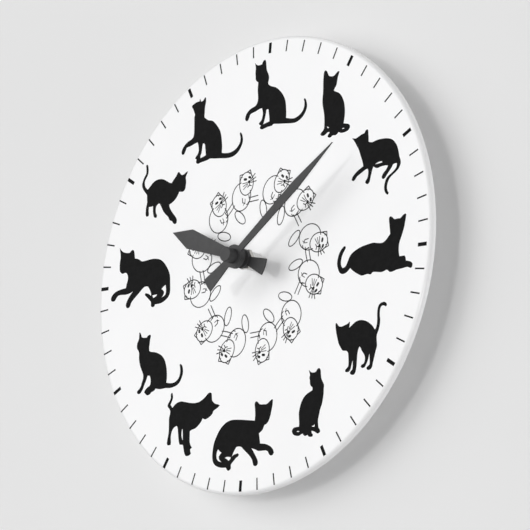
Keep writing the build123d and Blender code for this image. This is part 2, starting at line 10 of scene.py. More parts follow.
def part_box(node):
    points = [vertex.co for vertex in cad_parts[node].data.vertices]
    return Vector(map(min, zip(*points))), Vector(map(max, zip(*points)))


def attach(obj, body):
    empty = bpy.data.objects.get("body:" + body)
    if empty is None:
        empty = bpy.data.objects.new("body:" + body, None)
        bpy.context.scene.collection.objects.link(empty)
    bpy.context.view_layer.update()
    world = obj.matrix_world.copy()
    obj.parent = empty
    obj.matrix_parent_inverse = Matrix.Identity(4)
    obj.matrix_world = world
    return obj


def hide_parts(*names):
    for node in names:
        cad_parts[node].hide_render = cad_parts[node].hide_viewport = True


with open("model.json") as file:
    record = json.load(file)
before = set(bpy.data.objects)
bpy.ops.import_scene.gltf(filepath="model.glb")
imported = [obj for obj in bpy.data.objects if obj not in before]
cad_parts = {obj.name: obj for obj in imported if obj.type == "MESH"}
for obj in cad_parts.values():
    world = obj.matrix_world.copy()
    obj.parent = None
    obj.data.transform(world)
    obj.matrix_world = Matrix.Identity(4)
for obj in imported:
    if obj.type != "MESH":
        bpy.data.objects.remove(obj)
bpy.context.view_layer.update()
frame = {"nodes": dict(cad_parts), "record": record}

MM = 0.001
SCENE = bpy.context.scene
SCENE.view_settings.view_transform = "Standard"


# ---- camera: the photograph's viewing angle, from low on the right ----

CAMERA_PLACE = Vector((1.2214, -1.2066, -0.3553))
CAMERA_UP = Vector((0.09644, -0.19226, 0.97659))
CAMERA_FORWARD = Vector((-0.70077, 0.68366, 0.20380))
CAMERA_LENS = 202.3

camera_data = bpy.data.cameras.new("photo_camera")
camera_data.lens = CAMERA_LENS
camera_data.sensor_width = 36.0
camera = bpy.data.objects.new("photo_camera", camera_data)
SCENE.collection.objects.link(camera)
back = -CAMERA_FORWARD.normalized()
right = CAMERA_UP.cross(back).normalized()
turn = Matrix((right, back.cross(right), back)).transposed().to_4x4()
camera.matrix_world = Matrix.Translation(CAMERA_PLACE) @ turn
camera_data.clip_start = 0.05
camera_data.clip_end = 30.0
SCENE.camera = camera


# ---- materials ----

class Paint:
    """One procedural material: a Principled shader with helpers for the nodes that feed it."""

    def __init__(self, name, color, rough, metal=0.0, specular=0.5, coat=0.0):
        self.mat = bpy.data.materials.new(name)
        self.mat.use_nodes = True
        self.tree = self.mat.node_tree
        self.shader = self.tree.nodes["Principled BSDF"]
        self.color = (*color, 1.0)
        self.rough = rough
        self.shader.inputs["Base Color"].default_value = self.color
        self.shader.inputs["Roughness"].default_value = rough
        self.shader.inputs["Metallic"].default_value = metal
        self.shader.inputs["Specular IOR Level"].default_value = specular
        self.shader.inputs["Coat Weight"].default_value = coat
        self.place = self.node("ShaderNodeTexCoord").outputs["Object"]

    def node(self, kind, **settings):
        made = self.tree.nodes.new(kind)
        for key, value in settings.items():
            setattr(made, key, value)
        return made

    def link(self, out, socket):
        self.tree.links.new(out, socket)

    def noise(self, scale, detail=3.0, rough=0.55, stretch=(1, 1, 1)):
        mapping = self.node("ShaderNodeMapping")
        mapping.inputs["Scale"].default_value = stretch
        self.link(self.place, mapping.inputs["Vector"])
        made = self.node("ShaderNodeTexNoise")
        made.inputs["Scale"].default_value = scale
        made.inputs["Detail"].default_value = detail
        made.inputs["Roughness"].default_value = rough
        self.link(mapping.outputs["Vector"], made.inputs["Vector"])
        return made.outputs["Fac"]

    def wave(self, scale, axis="X", rings=False, distort=0.0, centre=(0, 0, 0)):
        mapping = self.node("ShaderNodeMapping")
        mapping.inputs["Location"].default_value = [-c for c in centre]
        self.link(self.place, mapping.inputs["Vector"])
        made = self.node("ShaderNodeTexWave")
        made.wave_type = "RINGS" if rings else "BANDS"
        if rings:
            made.rings_direction = axis
        else:
            made.bands_direction = axis
        made.inputs["Scale"].default_value = scale
        made.inputs["Distortion"].default_value = distort
        self.link(mapping.outputs["Vector"], made.inputs["Vector"])
        return made.outputs["Fac"]

    def ramp(self, fac, low, high, start=0.35, end=0.65):
        made = self.node("ShaderNodeMapRange")
        made.inputs["From Min"].default_value = start
        made.inputs["From Max"].default_value = end
        made.inputs["To Min"].default_value = low
        made.inputs["To Max"].default_value = high
        self.link(fac, made.inputs["Value"])
        return made.outputs["Result"]

    def tint(self, fac, low, high, start=0.35, end=0.65):
        """Base colour that runs between two shades of the material's own colour."""
        made = self.node("ShaderNodeValToRGB")
        made.color_ramp.elements[0].position = start
        made.color_ramp.elements[1].position = end
        made.color_ramp.elements[0].color = (*[c * low for c in self.color[:3]], 1)
        made.color_ramp.elements[1].color = (*[min(c * high, 1) for c in self.color[:3]], 1)
        self.link(fac, made.inputs["Fac"])
        self.link(made.outputs["Color"], self.shader.inputs["Base Color"])
        return made.outputs["Color"]

    def mix(self, fac, below, above):
        made = self.node("ShaderNodeMix", data_type="RGBA")
        self.link(fac, made.inputs["Factor"])
        for value, socket in ((below, made.inputs[6]), (above, made.inputs[7])):
            if isinstance(value, tuple):
                socket.default_value = (*value, 1)
            else:
                self.link(value, socket)
        self.link(made.outputs[2], self.shader.inputs["Base Color"])
        return made.outputs[2]

    def roughen(self, fac, spread, start=0.35, end=0.65):
        low, high = self.rough - spread, self.rough + spread
        self.link(self.ramp(fac, low, high, start, end), self.shader.inputs["Roughness"])

    def bump(self, fac, height_mm, strength=1.0):
        made = self.node("ShaderNodeBump")
        made.inputs["Strength"].default_value = strength
        made.inputs["Distance"].default_value = height_mm * MM
        self.link(fac, made.inputs["Height"])
        last = self.shader.inputs["Normal"]
        if last.is_linked:
            self.link(last.links[0].from_socket, made.inputs["Normal"])
        self.link(made.outputs["Normal"], last)

    def edge_wear(self, shade, amount=0.5, radius_mm=0.25):
        """Lighter, worn edges, found from how far a bevelled normal turns from the flat one."""
        bevel = self.node("ShaderNodeBevel", samples=6)
        bevel.inputs["Radius"].default_value = radius_mm * MM
        flat = self.node("ShaderNodeNewGeometry").outputs["Normal"]
        dot = self.node("ShaderNodeVectorMath", operation="DOT_PRODUCT")
        self.link(bevel.outputs["Normal"], dot.inputs[0])
        self.link(flat, dot.inputs[1])
        worn = self.ramp(dot.outputs["Value"], amount, 0.0, 0.75, 0.99)
        source = self.shader.inputs["Base Color"]
        below = source.links[0].from_socket if source.is_linked else tuple(self.color[:3])
        self.mix(worn, below, shade)


def moulded(name, color, rough, grain=900.0, grain_mm=0.015, spread=0.07, specular=0.45):
    """Moulded plastic: fine spark-eroded grain, and slow flow marks in shade and gloss."""
    paint = Paint(name, color, rough, specular=specular)
    slow = paint.noise(38.0, 4.0)
    paint.tint(slow, 0.93, 1.05)
    paint.roughen(paint.noise(90.0, 5.0), spread)
    paint.bump(paint.noise(grain * 4, 2.0), grain_mm)
    return paint


def metal(name, color, rough, stretch=(1, 1, 1), scale=1800.0, bump_mm=0.004, spread=0.08):
    """Rolled or plated metal: fine lines along the stretched axis, and faint handling marks."""
    paint = Paint(name, color, rough, metal=1.0)
    lines = paint.noise(scale, 3.0, 0.6, stretch)
    paint.tint(paint.noise(160.0, 5.0), 0.88, 1.06)
    paint.roughen(lines, spread)
    paint.bump(lines, bump_mm)
    return paint


def turned(name, color, rough, centre=(0, 0, 0), scale=420.0):
    """Turned metal: rings round the Y axis left by the tool."""
    paint = Paint(name, color, rough, metal=1.0)
    rings = paint.wave(scale, "Y", rings=True, distort=0.6, centre=centre)
    paint.tint(paint.noise(300.0, 4.0), 0.85, 1.08)
    paint.roughen(rings, 0.07, 0.2, 0.8)
    paint.bump(rings, 0.006)
    return paint


def build_materials():
    made = {}

    acrylic = Paint("acrylic_white", (0.915, 0.915, 0.92), 0.33, specular=0.42)
    acrylic.tint(acrylic.noise(9.0, 4.0), 0.985, 1.01)
    acrylic.roughen(acrylic.noise(26.0, 6.0), 0.05)
    acrylic.bump(acrylic.noise(60.0, 2.0), 0.01)
    made["acrylic_white"] = acrylic

    ink = Paint("print_ink", (0.0088, 0.0088, 0.009), 0.55, specular=0.03)
    ink.tint(ink.noise(220.0, 3.0), 0.9, 1.15)
    ink.roughen(ink.noise(500.0, 3.0), 0.08)
    ink.bump(ink.noise(2600.0, 2.0), 0.004)
    made["print_ink"] = ink

    fine_ink = Paint("line_ink", (0.018, 0.018, 0.019), 0.5, specular=0.05)
    fine_ink.tint(fine_ink.noise(420.0, 4.0), 0.7, 1.7)
    fine_ink.roughen(fine_ink.noise(500.0, 3.0), 0.08)
    fine_ink.bump(fine_ink.noise(2600.0, 2.0), 0.004)
    made["line_ink"] = fine_ink

    hands = Paint("hand_paint", (0.052, 0.052, 0.053), 0.5, specular=0.22)
    hands.tint(hands.noise(45.0, 4.0), 0.94, 1.06)
    hands.roughen(hands.noise(240.0, 4.0), 0.06)
    hands.bump(hands.noise(1400.0, 3.0), 0.006)
    hands.edge_wear((0.12, 0.12, 0.123), 0.4, 0.3)
    made["hand_paint"] = hands

    nickel = metal("nickel_plate", (0.52, 0.505, 0.48), 0.3, (1, 9, 1), 1500.0)
    nickel.edge_wear((0.75, 0.74, 0.72), 0.5, 0.2)
    made["nickel_plate"] = nickel
    made["brass"] = turned("brass", (0.72, 0.55, 0.27), 0.3)

    rubber = moulded("rubber_black", (0.022, 0.022, 0.022), 0.78, 700.0, 0.03, 0.06, 0.3)
    made["rubber_black"] = rubber
    made["nylon_white"] = moulded("nylon_white", (0.86, 0.86, 0.85), 0.42)
    acetal = moulded("acetal_natural", (0.84, 0.83, 0.78), 0.38)
    acetal.shader.inputs["Subsurface Weight"].default_value = 0.08
    acetal.shader.inputs["Subsurface Scale"].default_value = 0.001
    made["acetal_natural"] = acetal

    knob = moulded("knob_plastic", (0.55, 0.55, 0.53), 0.5)
    knob.edge_wear((0.72, 0.72, 0.7), 0.4, 0.2)
    made["knob_plastic"] = knob
    made["magnet_grey"] = moulded("magnet_grey", (0.16, 0.16, 0.175), 0.6, 1500.0, 0.02)
    case = moulded("case_plastic", (0.026, 0.026, 0.028), 0.52, 800.0, 0.03, 0.08)
    case.edge_wear((0.075, 0.075, 0.08), 0.45, 0.3)
    made["case_plastic"] = case
    made["mark_paint"] = moulded("mark_paint", (0.3, 0.3, 0.3), 0.5, 1200.0, 0.01)
    made["rib_plastic"] = moulded("rib_plastic", (0.34, 0.34, 0.33), 0.5, 1200.0, 0.01)

    zinc = metal("zinc_steel", (0.6, 0.61, 0.63), 0.36, (1, 1, 0.15), 900.0)
    spangle = zinc.node("ShaderNodeTexVoronoi")
    spangle.inputs["Scale"].default_value = 420.0
    zinc.link(zinc.place, spangle.inputs["Vector"])
    zinc.tint(spangle.outputs["Distance"], 0.86, 1.06, 0.0, 0.9)
    made["zinc_steel"] = zinc
    made["frame_plastic"] = moulded("frame_plastic", (0.72, 0.72, 0.69), 0.5)

    iron = metal("soft_iron", (0.4, 0.4, 0.41), 0.4, (0.2, 8, 1), 1200.0)
    iron.bump(iron.wave(700.0, "Y"), 0.02)
    made["soft_iron"] = iron
    made["bobbin_plastic"] = moulded("bobbin_plastic", (0.76, 0.74, 0.64), 0.45)

    copper = Paint("enamelled_copper", (0.58, 0.19, 0.06), 0.28, metal=0.9, coat=0.6)
    turns = copper.wave(3600.0, "X", distort=0.4)
    # painted shade and painted highlight: each turn of wire is darker in the groove beside it and lighter on its
    # crest, following the same bands as the bump
    copper.tint(turns, 0.55, 1.15, 0.1, 0.9)
    copper.roughen(copper.noise(300.0), 0.06)
    copper.bump(turns, 0.05)
    made["enamelled_copper"] = copper

    board = Paint("board_laminate", (0.05, 0.22, 0.08), 0.4, coat=0.3)
    weave = board.wave(900.0, "X", distort=0.3)
    board.tint(board.noise(350.0, 2.0), 0.8, 1.3, 0.42, 0.58)
    board.roughen(board.noise(200.0), 0.06)
    board.bump(weave, 0.01)
    made["board_laminate"] = board
    made["black_epoxy"] = moulded("black_epoxy", (0.012, 0.012, 0.013), 0.32, 400.0, 0.02)
    made["nickel_can"] = metal("nickel_can", (0.68, 0.68, 0.66), 0.22, (8, 1, 1), 900.0)
    made["contact_steel"] = metal("contact_steel", (0.66, 0.66, 0.64), 0.27, (1, 8, 1), 900.0)
    made["battery_jacket"] = battery_paint()
    return made


def battery_paint():
    """Printed sleeve of a plain cell: a dark body, a copper-coloured end band, bare steel ends."""
    low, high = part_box("battery_cell")
    length = high.x - low.x
    paint = Paint("battery_jacket", (0.045, 0.05, 0.06), 0.3, metal=0.35, coat=0.4)
    along = paint.node("ShaderNodeSeparateXYZ")
    paint.link(paint.place, along.inputs["Vector"])
    dark = paint.tint(paint.noise(120.0, 4.0), 0.85, 1.15)
    band = paint.node("ShaderNodeMath", operation="GREATER_THAN")
    band.inputs[1].default_value = low.x + length * BAND_SHARE
    paint.link(along.outputs["X"], band.inputs[0])
    mixed = paint.mix(band.outputs["Value"], dark, (0.5, 0.27, 0.1))
    ends = paint.node("ShaderNodeMath", operation="COMPARE")
    ends.inputs[1].default_value = (low.x + high.x) / 2
    ends.inputs[2].default_value = length / 2 - SLEEVE_INSET * MM
    paint.link(along.outputs["X"], ends.inputs[0])
    paint.mix(ends.outputs["Value"], (0.62, 0.62, 0.6), mixed)
    paint.roughen(paint.noise(300.0, 4.0), 0.06)
    paint.bump(paint.noise(700.0, 2.0), 0.005)
    return paint


BAND_SHARE = 0.7
SLEEVE_INSET = 1.6
PAINTS = build_materials()
SLOTS = {row["node"]: row["material_slot"] for row in frame["record"]["subparts"]}

for node_name, node_object in frame["nodes"].items():
    node_object.data.materials.clear()
    node_object.data.materials.append(PAINTS[SLOTS[node_name]].mat)


# ---- flat drawing: outlines in millimetres on the dial, X to the right and Z up ----

INK_BACK = 0.03
INK_FRONT = 0.05
CURVE_STEP = 0.45
CAP_SIDES = 12
CORNER_TURN = math.radians(52)
FACE_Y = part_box("dial_disc")[0].y


def turning(a, b, c):
    """How far a line turns at b on its way from a to c."""
    u, v = b - a, c - b
    if u.length < 1e-9 or v.length < 1e-9:
        return 0.0
    return abs(u.angle_signed(v))


def smooth(points, closed=True):
    """A curve through the points that rounds gentle bends and keeps sharp corners sharp."""
    pts = [Vector(p) for p in points]
    count = len(pts)
    spans = count if closed else count - 1

    def at(i):
        return pts[i % count] if closed else pts[max(0, min(count - 1, i))]

    def slope(i):
        if not closed and i in (0, count - 1):
            return None
        before, here, after = at(i - 1), at(i), at(i + 1)
        if turning(before, here, after) > CORNER_TURN:
            return None
        return (after - before).normalized()

    out = []
    for i in range(spans):
        a, b = at(i), at(i + 1)
        reach = (b - a).length
        straight = (b - a).normalized()
        leave, arrive = slope(i) or straight, slope(i + 1 if not closed else (i + 1) % count) or straight
        steps = max(2, round(reach / CURVE_STEP))
        for k in range(steps):
            t = k / steps
            h = (2 * t**3 - 3 * t**2 + 1, t**3 - 2 * t**2 + t, -2 * t**3 + 3 * t**2, t**3 - t**2)
            out.append(a * h[0] + leave * reach * h[1] + b * h[2] + arrive * reach * h[3])
    if not closed:
        out.append(pts[-1])
    return out


def stroke(points, width, closed=False):
    """Outlines of one pen stroke: short quads along its line, and a round cap at each open end."""
    line = smooth(points, closed)
    count = len(line)
    half = width / 2
    edges = []
    for i, here in enumerate(line):
        before = line[(i - 1) % count] if closed else line[max(i - 1, 0)]
        after = line[(i + 1) % count] if closed else line[min(i + 1, count - 1)]
        ahead = (after - before).normalized()
        normal = Vector((-ahead.y, ahead.x)) * half
        edges.append((here + normal, here - normal))
    outlines = []
    for i in range(count if closed else count - 1):
        (a, b), (c, d) = edges[i], edges[(i + 1) % count]
        outlines.append([a, b, d, c])
    if not closed:
        for end in (line[0], line[-1]):
            outlines.append([end + Vector((math.cos(t), math.sin(t))) * half
                             for t in (math.tau * k / CAP_SIDES for k in range(CAP_SIDES))])
    return outlines


def anticlockwise(outline):
    area = sum(a.cross(b) for a, b in zip(outline, outline[1:] + outline[:1]))
    return outline if area > 0 else outline[::-1]


def shown(name, mesh, paint):
    """The finished mesh as an object in the scene, with its paint."""
    data = bpy.data.meshes.new(name)
    mesh.to_mesh(data)
    mesh.free()
    data.materials.append(PAINTS[paint].mat)
    piece = bpy.data.objects.new(name, data)
    SCENE.collection.objects.link(piece)
    return piece


def flat_ink(name, outlines, holes=(), paint="print_ink", lift=0.0):
    """One thin closed piece of ink on the dial's face, from the union of outlines less the holes."""
    verts, faces = [], []
    for outline in list(outlines) + list(holes):
        faces.append(list(range(len(verts), len(verts) + len(outline))))
        verts.extend(anticlockwise(outline))
    points, _, triangles, _, _, origins = delaunay_2d_cdt(verts, [], faces, 1, 1e-5)
    first_hole = len(outlines)
    keep = [t for t, o in zip(triangles, origins) if o and max(o) < first_hole]
    mesh = bmesh.new()
    made = [mesh.verts.new((p.x * MM, FACE_Y + INK_BACK * MM, p.y * MM)) for p in points]
    for t in keep:
        mesh.faces.new([made[i] for i in t])
    for v in [v for v in mesh.verts if not v.link_faces]:
        mesh.verts.remove(v)
    body = mesh.faces[:]
    grown = bmesh.ops.extrude_face_region(mesh, geom=body)
    shift = Vector((0, -(INK_BACK + INK_FRONT + lift) * MM, 0))
    bmesh.ops.translate(mesh, vec=shift, verts=[v for v in grown["geom"] if isinstance(v, bmesh.types.BMVert)])
    bmesh.ops.recalc_face_normals(mesh, faces=mesh.faces)
    piece = shown(name, mesh, paint)
    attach(piece, "clock_body")
    return piece


# ---- minute ticks ----

PRINT_CENTRE = Vector((-0.8, -1.8))
TICK_TURN = -0.25
TICK_SKEW = 1.25
TICK_R = 131.0
TICK_MINUTE = (7.0, 0.9)
TICK_HOUR = (6.5, 2.2)


def around(angle_deg, radius, centre=PRINT_CENTRE):
    """A point of the tick ring, which is printed a little out of round."""
    a = math.radians(angle_deg + TICK_TURN)
    skew = Vector((math.sin(2 * a), math.cos(2 * a))) * TICK_SKEW
    return centre + Vector((math.sin(a), math.cos(a))) * radius + skew


def ticks():
    marks = []
    for minute in range(60):
        length, width = TICK_HOUR if minute % 5 == 0 else TICK_MINUTE
        inner = around(minute * 6, TICK_R - length / 2 + width / 2)
        outer = around(minute * 6, TICK_R + length / 2 - width / 2)
        across = (outer - inner).normalized().orthogonal() * width / 2
        along = (outer - inner).normalized() * width / 2
        marks.append([inner - along - across, outer + along - across, outer + along + across, inner - along + across])
    flat_ink("minute_ticks", marks)


ticks()


# ---- the twelve cats ----

CATS = {
    12: ([(-13.4, 123.0), (-11.8, 121.6), (-10, 121.0), (-7.3, 121.2), (-6.2, 123.3), (-4.9, 123.7),
          (-4.2, 122.8), (-3.6, 120.4), (-2.8, 117), (-1.3, 114.4), (-0.5, 112), (-0.8, 110),
          (-0.9, 108.6), (0, 107.5), (2.2, 106.4), (5.6, 105.3), (8.1, 103.7), (10.6, 101.6),
          (12.6, 99.3), (14.1, 96.9), (15, 94.4), (15.6, 91.2), (16, 88), (16.1, 85.2), (20.6, 84.2),
          (23.2, 84.1), (26.3, 85.1), (28.8, 86.9), (30.2, 89.1), (30.6, 90.9), (30.4, 93),
          (29.8, 94.5), (30.3, 95.1), (31, 94.8), (31.9, 93.4), (32.7, 91.2), (32.7, 89), (31.7, 86.5),
          (29.7, 84), (26.9, 82.2), (23.7, 81.3), (20, 81.4), (15, 81.9), (10, 82.4), (5.8, 82.8),
          (4.7, 82), (1.2, 81.7), (-1.2, 81.2), (-3.4, 80.8), (-5, 81.4), (-5.3, 82.3), (-4.5, 83.3),
          (-5.9, 84), (-6.5, 84.8), (-5.4, 85.7), (-4.4, 86.6), (-3.9, 88.1), (-3.6, 89.7),
          (-3.9, 91.9), (-4.7, 93.9), (-6.3, 93.8), (-10, 92.6), (-13.1, 91.9), (-14.3, 91.2),
          (-14.8, 90), (-15.3, 88.7), (-16.2, 87.7), (-17.3, 87.7), (-18.2, 88.6), (-18.3, 90),
          (-17.6, 91.9), (-15.9, 93.8), (-13.7, 95), (-10.6, 96), (-9.6, 96.8), (-8.9, 98.2),
          (-8.6, 99.9), (-8.9, 102.5), (-9.4, 106), (-9.4, 110.3), (-10.6, 111.2), (-11.6, 112.2),
          (-12, 114.4), (-12.4, 117), (-12.4, 120)],
         [[(-0.9, 92.3), (0, 92.7), (0.9, 92.3), (1.6, 89.4), (2.2, 86.6), (2.3, 84.9), (0.6, 84.5),
           (-1.4, 84.1), (-2.7, 83.8), (-2.2, 85.2), (-1.6, 87.5), (-1.1, 90)]]),
    1: ([(44.8, 107.5), (45.1, 109), (46, 109.7), (47, 109.1), (47.9, 107.9), (49.1, 106),
         (51.3, 105.3), (53.2, 105.4), (54.8, 106.6), (56.2, 107.7), (57.4, 107.4), (56.9, 105.8),
         (56.3, 103.9), (56, 101.7), (55.6, 99.5), (54.4, 97.6), (53.8, 96.4), (55.4, 95.6),
         (57.9, 94.5), (60.1, 92.6), (61.6, 90.4), (62.8, 87.9), (63.5, 85.1), (63.9, 82), (63.8, 78.9),
         (63.4, 75.5), (65.1, 75.2), (67.2, 74.7), (68.5, 73.6), (68.6, 72.3), (67.6, 71.1), (66, 70.4),
         (63.8, 70), (61.6, 70.1), (59.8, 70.9), (58.8, 69.9), (57.5, 69.3), (55.3, 69.4), (53.9, 68.6),
         (52.6, 68.4), (51.2, 69.2), (51.6, 70.2), (52.7, 71.6), (51.5, 71.9), (50.3, 71.4),
         (49.1, 70.6), (47.9, 70.2), (46.3, 70.4), (45.2, 71.4), (46, 72.4), (47.1, 73.2), (47.9, 74.5),
         (48, 76.4), (47.8, 79.5), (47.2, 83.2), (46.3, 86.4), (45.4, 89.5), (45.1, 92.6), (45.2, 95.8),
         (45.1, 98.9), (44.8, 102.6)],
        [[(50.3, 75.4), (51.3, 74.9), (52.2, 74.4), (51.2, 74.3), (50.5, 74.6)],
         [(62.3, 72.6), (63.4, 72.8), (64.4, 72.6), (63.4, 72.2)]]),
    2: ([(70.9, 65.7), (72.3, 65.4), (74, 65.2), (76.5, 66.2), (78.7, 67.1), (80.5, 67.5), (81.2, 68.8),
         (82.4, 69.5), (83.2, 68.9), (83.6, 66.8), (84, 64.3), (84.2, 61.9), (87.1, 61.3), (89.6, 61.9),
         (92.8, 62.3), (96.5, 62.3), (99.6, 61.9), (102.7, 60.8), (104.9, 58.9), (106.5, 56.8),
         (107.6, 54.3), (108.4, 51.8), (109, 49.9), (109.9, 48), (110.1, 46.1), (109, 43.6),
         (107.1, 41.8), (104.6, 40.2), (102.8, 38.9), (101.5, 37.1), (100.8, 34.9), (100.8, 32.7),
         (101.5, 31), (102.3, 30), (101.8, 29), (100.9, 29.2), (99.4, 30.7), (98.6, 33), (98.7, 35.5),
         (99.5, 38), (101.2, 39.9), (103.4, 41.2), (105.9, 43), (107.1, 44.6), (107.3, 46.6),
         (105.8, 46.6), (104.3, 46.1), (103.4, 44.6), (101.5, 42.4), (99.9, 40.5), (98.7, 39),
         (97.4, 38.5), (96.3, 39.1), (96.2, 40.2), (97.4, 42.1), (99.3, 43.9), (100.5, 46),
         (98.6, 46.3), (95.3, 46.1), (92.1, 45.5), (90.2, 46.2), (89.3, 46.8), (88.6, 45.5), (88, 43),
         (87.4, 40.5), (87.1, 38.6), (86.1, 37.2), (84.7, 37.1), (83.5, 38.2), (84, 39.3), (84.9, 40.3),
         (85.4, 42.4), (85.4, 44.9), (84.8, 46), (83.4, 45.8), (80.9, 44.6), (78.4, 43.3), (76.8, 42.4),
         (75.2, 40.5), (74, 40), (72.8, 40.7), (73.1, 42.1), (74.6, 43.9), (77.1, 45.8), (79.6, 47.1),
         (81.2, 47.9), (81, 48.9), (79.9, 51.8), (78.4, 54.9), (76.8, 58.3), (74.6, 61.4), (72.8, 63.8)],
        [[(90.2, 48), (92, 48.7), (93.8, 49.1), (95.7, 49.1), (95.9, 48.4), (93.4, 48.1)]]),
    3: ([(68.7, 1.3), (69.9, 2.3), (71.1, 2.5), (71.7, 1.4), (70.8, 0), (69.6, -1.9), (68.8, -4.1),
         (68.5, -6.6), (69, -8.8), (70.2, -10.2), (71.7, -9.8), (73, -8.5), (73.9, -6.6), (74.9, -4.4),
         (76.4, -2.6), (79.2, -0.9), (83, 0.6), (86.8, 1.4), (90.5, 2), (93, 2.2), (96.1, 1.7),
         (99.9, 1.5), (102.4, 2.8), (103.9, 4.3), (105.4, 5.9), (105, 8.4), (104.4, 11.5),
         (103.8, 15.2), (104.6, 16.1), (105.9, 15.8), (108, 14.2), (110.5, 14.3), (112.4, 14.3),
         (114.2, 15.7), (115.9, 16.6), (116.8, 15.9), (116.4, 12.8), (115.8, 9), (114.9, 5.9),
         (113.9, 3.1), (112.9, 0.3), (112.6, -2.9), (113, -6), (113.6, -7.7), (116.1, -7.6),
         (117.5, -7.7), (118.3, -9.1), (118.6, -10.6), (120.5, -11), (122.4, -11.6), (123.8, -12.9),
         (123.6, -14.6), (122.4, -15.2), (120.2, -14.4), (116.1, -14.8), (111.8, -15.2), (108.6, -16),
         (106.8, -15.9), (104.6, -14.5), (103, -14.9), (100.5, -15.4), (97.4, -15.1), (93.9, -14.8),
         (92.4, -15.9), (89.9, -15.5), (85.5, -16), (83, -15.1), (79.9, -13.5), (77.7, -12.1),
         (76.1, -10.7), (74.6, -12.2), (72.4, -13.4), (69.9, -13.6), (68, -12.6), (66.6, -10.4),
         (65.6, -7.2), (66, -3.5), (67.1, -0.7)], []),
    4: ([(67.5, -42.2), (67.9, -41.6), (68.8, -42.3), (70.3, -43.8), (72.4, -44.1), (75.2, -43.4),
         (77.1, -42.8), (78.2, -41.8), (78.6, -42.2), (78.4, -45.3), (80.2, -44.1), (82.8, -42.4),
         (85.9, -41.6), (89, -41.9), (91.8, -42.8), (94.6, -44.4), (96.5, -45.9), (98, -47.7),
         (98.7, -47.8), (99.4, -45.6), (99.6, -42.5), (99.3, -39.4), (99.4, -36.2), (100.2, -34.1),
         (101.8, -33), (104, -32.7), (105.6, -33.4), (106.4, -34.6), (105.6, -35.5), (104, -34.8),
         (102.4, -34.9), (101.4, -36.3), (101.3, -39.4), (101.8, -42.5), (101.8, -45), (101.2, -48.1),
         (100.4, -50), (99.9, -51.9), (100.3, -55), (100.6, -57.5), (99.9, -60), (99.2, -63.1),
         (98.6, -65.6), (98.2, -67.5), (97.9, -69.1), (96.8, -70.3), (95.2, -70.7), (94, -70.2),
         (93.6, -69.3), (94.6, -68.4), (95.7, -67.6), (95.8, -65.9), (95.6, -63.8), (95.2, -61.2),
         (94.8, -63.1), (94.1, -65.6), (93.1, -67.5), (92.1, -68.9), (90.3, -69.3), (89.1, -68.3),
         (89.7, -67.3), (91.1, -66.8), (91.9, -65.5), (91.9, -63.1), (90.9, -61.2), (89.3, -59.4),
         (88.1, -57.5), (87.2, -56.7), (86.5, -58.1), (86, -60.6), (85.9, -63.8), (85.9, -66.9),
         (85.6, -70), (84.9, -71.9), (83.7, -72.6), (81.8, -72.2), (81, -71.3), (81.7, -70.3),
         (82.7, -69.4), (82.9, -66.9), (82.6, -64.2), (81.9, -66.9), (81.5, -68.8), (80.6, -70.3),
         (79, -70.8), (77.4, -70.4), (77.3, -69.4), (78.4, -68.4), (79.4, -67.5), (79.5, -65),
         (79, -61.2), (78.6, -59.6), (77.3, -58.5), (74.3, -58), (72.7, -56.3), (70.9, -53.8),
         (69.6, -50.6), (68.5, -47.5), (67.7, -44.4)], []),
    5: ([(48.7, -67.2), (49.9, -68.2), (51.4, -68.9), (54.2, -68.8), (55.3, -67.4), (56.4, -66.8),
         (57.6, -67.2), (58.2, -68.7), (58.6, -70.9), (59.2, -73), (60.4, -74.9), (61.5, -76.8),
         (61.5, -79), (61.6, -81.5), (61.4, -84.6), (60.8, -87.8), (59.8, -90.3), (59.2, -93.4),
         (58.6, -96.5), (58.9, -99), (59.4, -101), (60.4, -102.1), (60.9, -103.2), (60.1, -104.1),
         (58.6, -104.3), (57, -103.4), (55.4, -102.8), (54.1, -102.5), (54.2, -103.6), (55.3, -104.6),
         (55.2, -105.7), (53.6, -106), (52, -105.6), (51.1, -104.7), (49.2, -105.2), (47.9, -104.6),
         (47.1, -103.8), (46.1, -104), (44.5, -104.8), (42, -104.7), (39.8, -103.9), (38.6, -102.4),
         (38.7, -101), (40.1, -99.9), (43.8, -99.6), (43.9, -97.7), (43.4, -94.6), (43.1, -91.5),
         (43.6, -88.4), (44.5, -85.6), (46.1, -83), (48.2, -81.2), (50.7, -80), (52.6, -79.2),
         (52.5, -77.7), (51.2, -76.7), (50.3, -75.2), (50.1, -73.4), (49.6, -72), (49.9, -70.2),
         (49.3, -68.7)],
        [[(53.9, -99.9), (55.5, -99.5), (56.1, -98.9), (56.4, -100.1), (55, -100.3)],
         [(42.2, -102.2), (43.4, -102), (44.6, -102.3), (43.4, -102.6)]]),
    6: ([(6.8, -84), (7.2, -82.9), (8, -82.7), (9.1, -83.1), (11.2, -84.6), (14.4, -84.8),
         (16.6, -84.8), (18.7, -83.4), (20.6, -82.2), (21.4, -82.6), (21.4, -85.2), (20.8, -89),
         (20.1, -92.1), (19.1, -94.6), (17.6, -96.3), (15.9, -97.1), (14.7, -99.5), (13.1, -100.9),
         (11.9, -101.5), (12.6, -104), (13.4, -107.5), (16.9, -107.9), (20, -108.7), (22.8, -110.2),
         (24.4, -111.8), (25.1, -113.4), (24.1, -114.7), (22.4, -114.9), (21.2, -114), (20, -112.4),
         (18.1, -111.8), (12.5, -111.8), (10, -110.9), (6.6, -109.9), (7.8, -111.2), (10, -114),
         (11.9, -116.5), (12.7, -118.4), (12.2, -119.9), (10.7, -120.5), (9.2, -119.9), (8.6, -118.7),
         (7.8, -116.8), (6.2, -114.9), (3.1, -112.4), (0, -110.2), (-1.9, -108.7), (-5.6, -108.5),
         (-6.9, -109.9), (-8.1, -111.8), (-9, -113.9), (-7.8, -113.1), (-5.9, -112.6), (-4.2, -112.3),
         (-3.3, -113.2), (-4.1, -114.2), (-5.4, -114.8), (-7.2, -116.5), (-9.4, -118.7), (-9.2, -120.6),
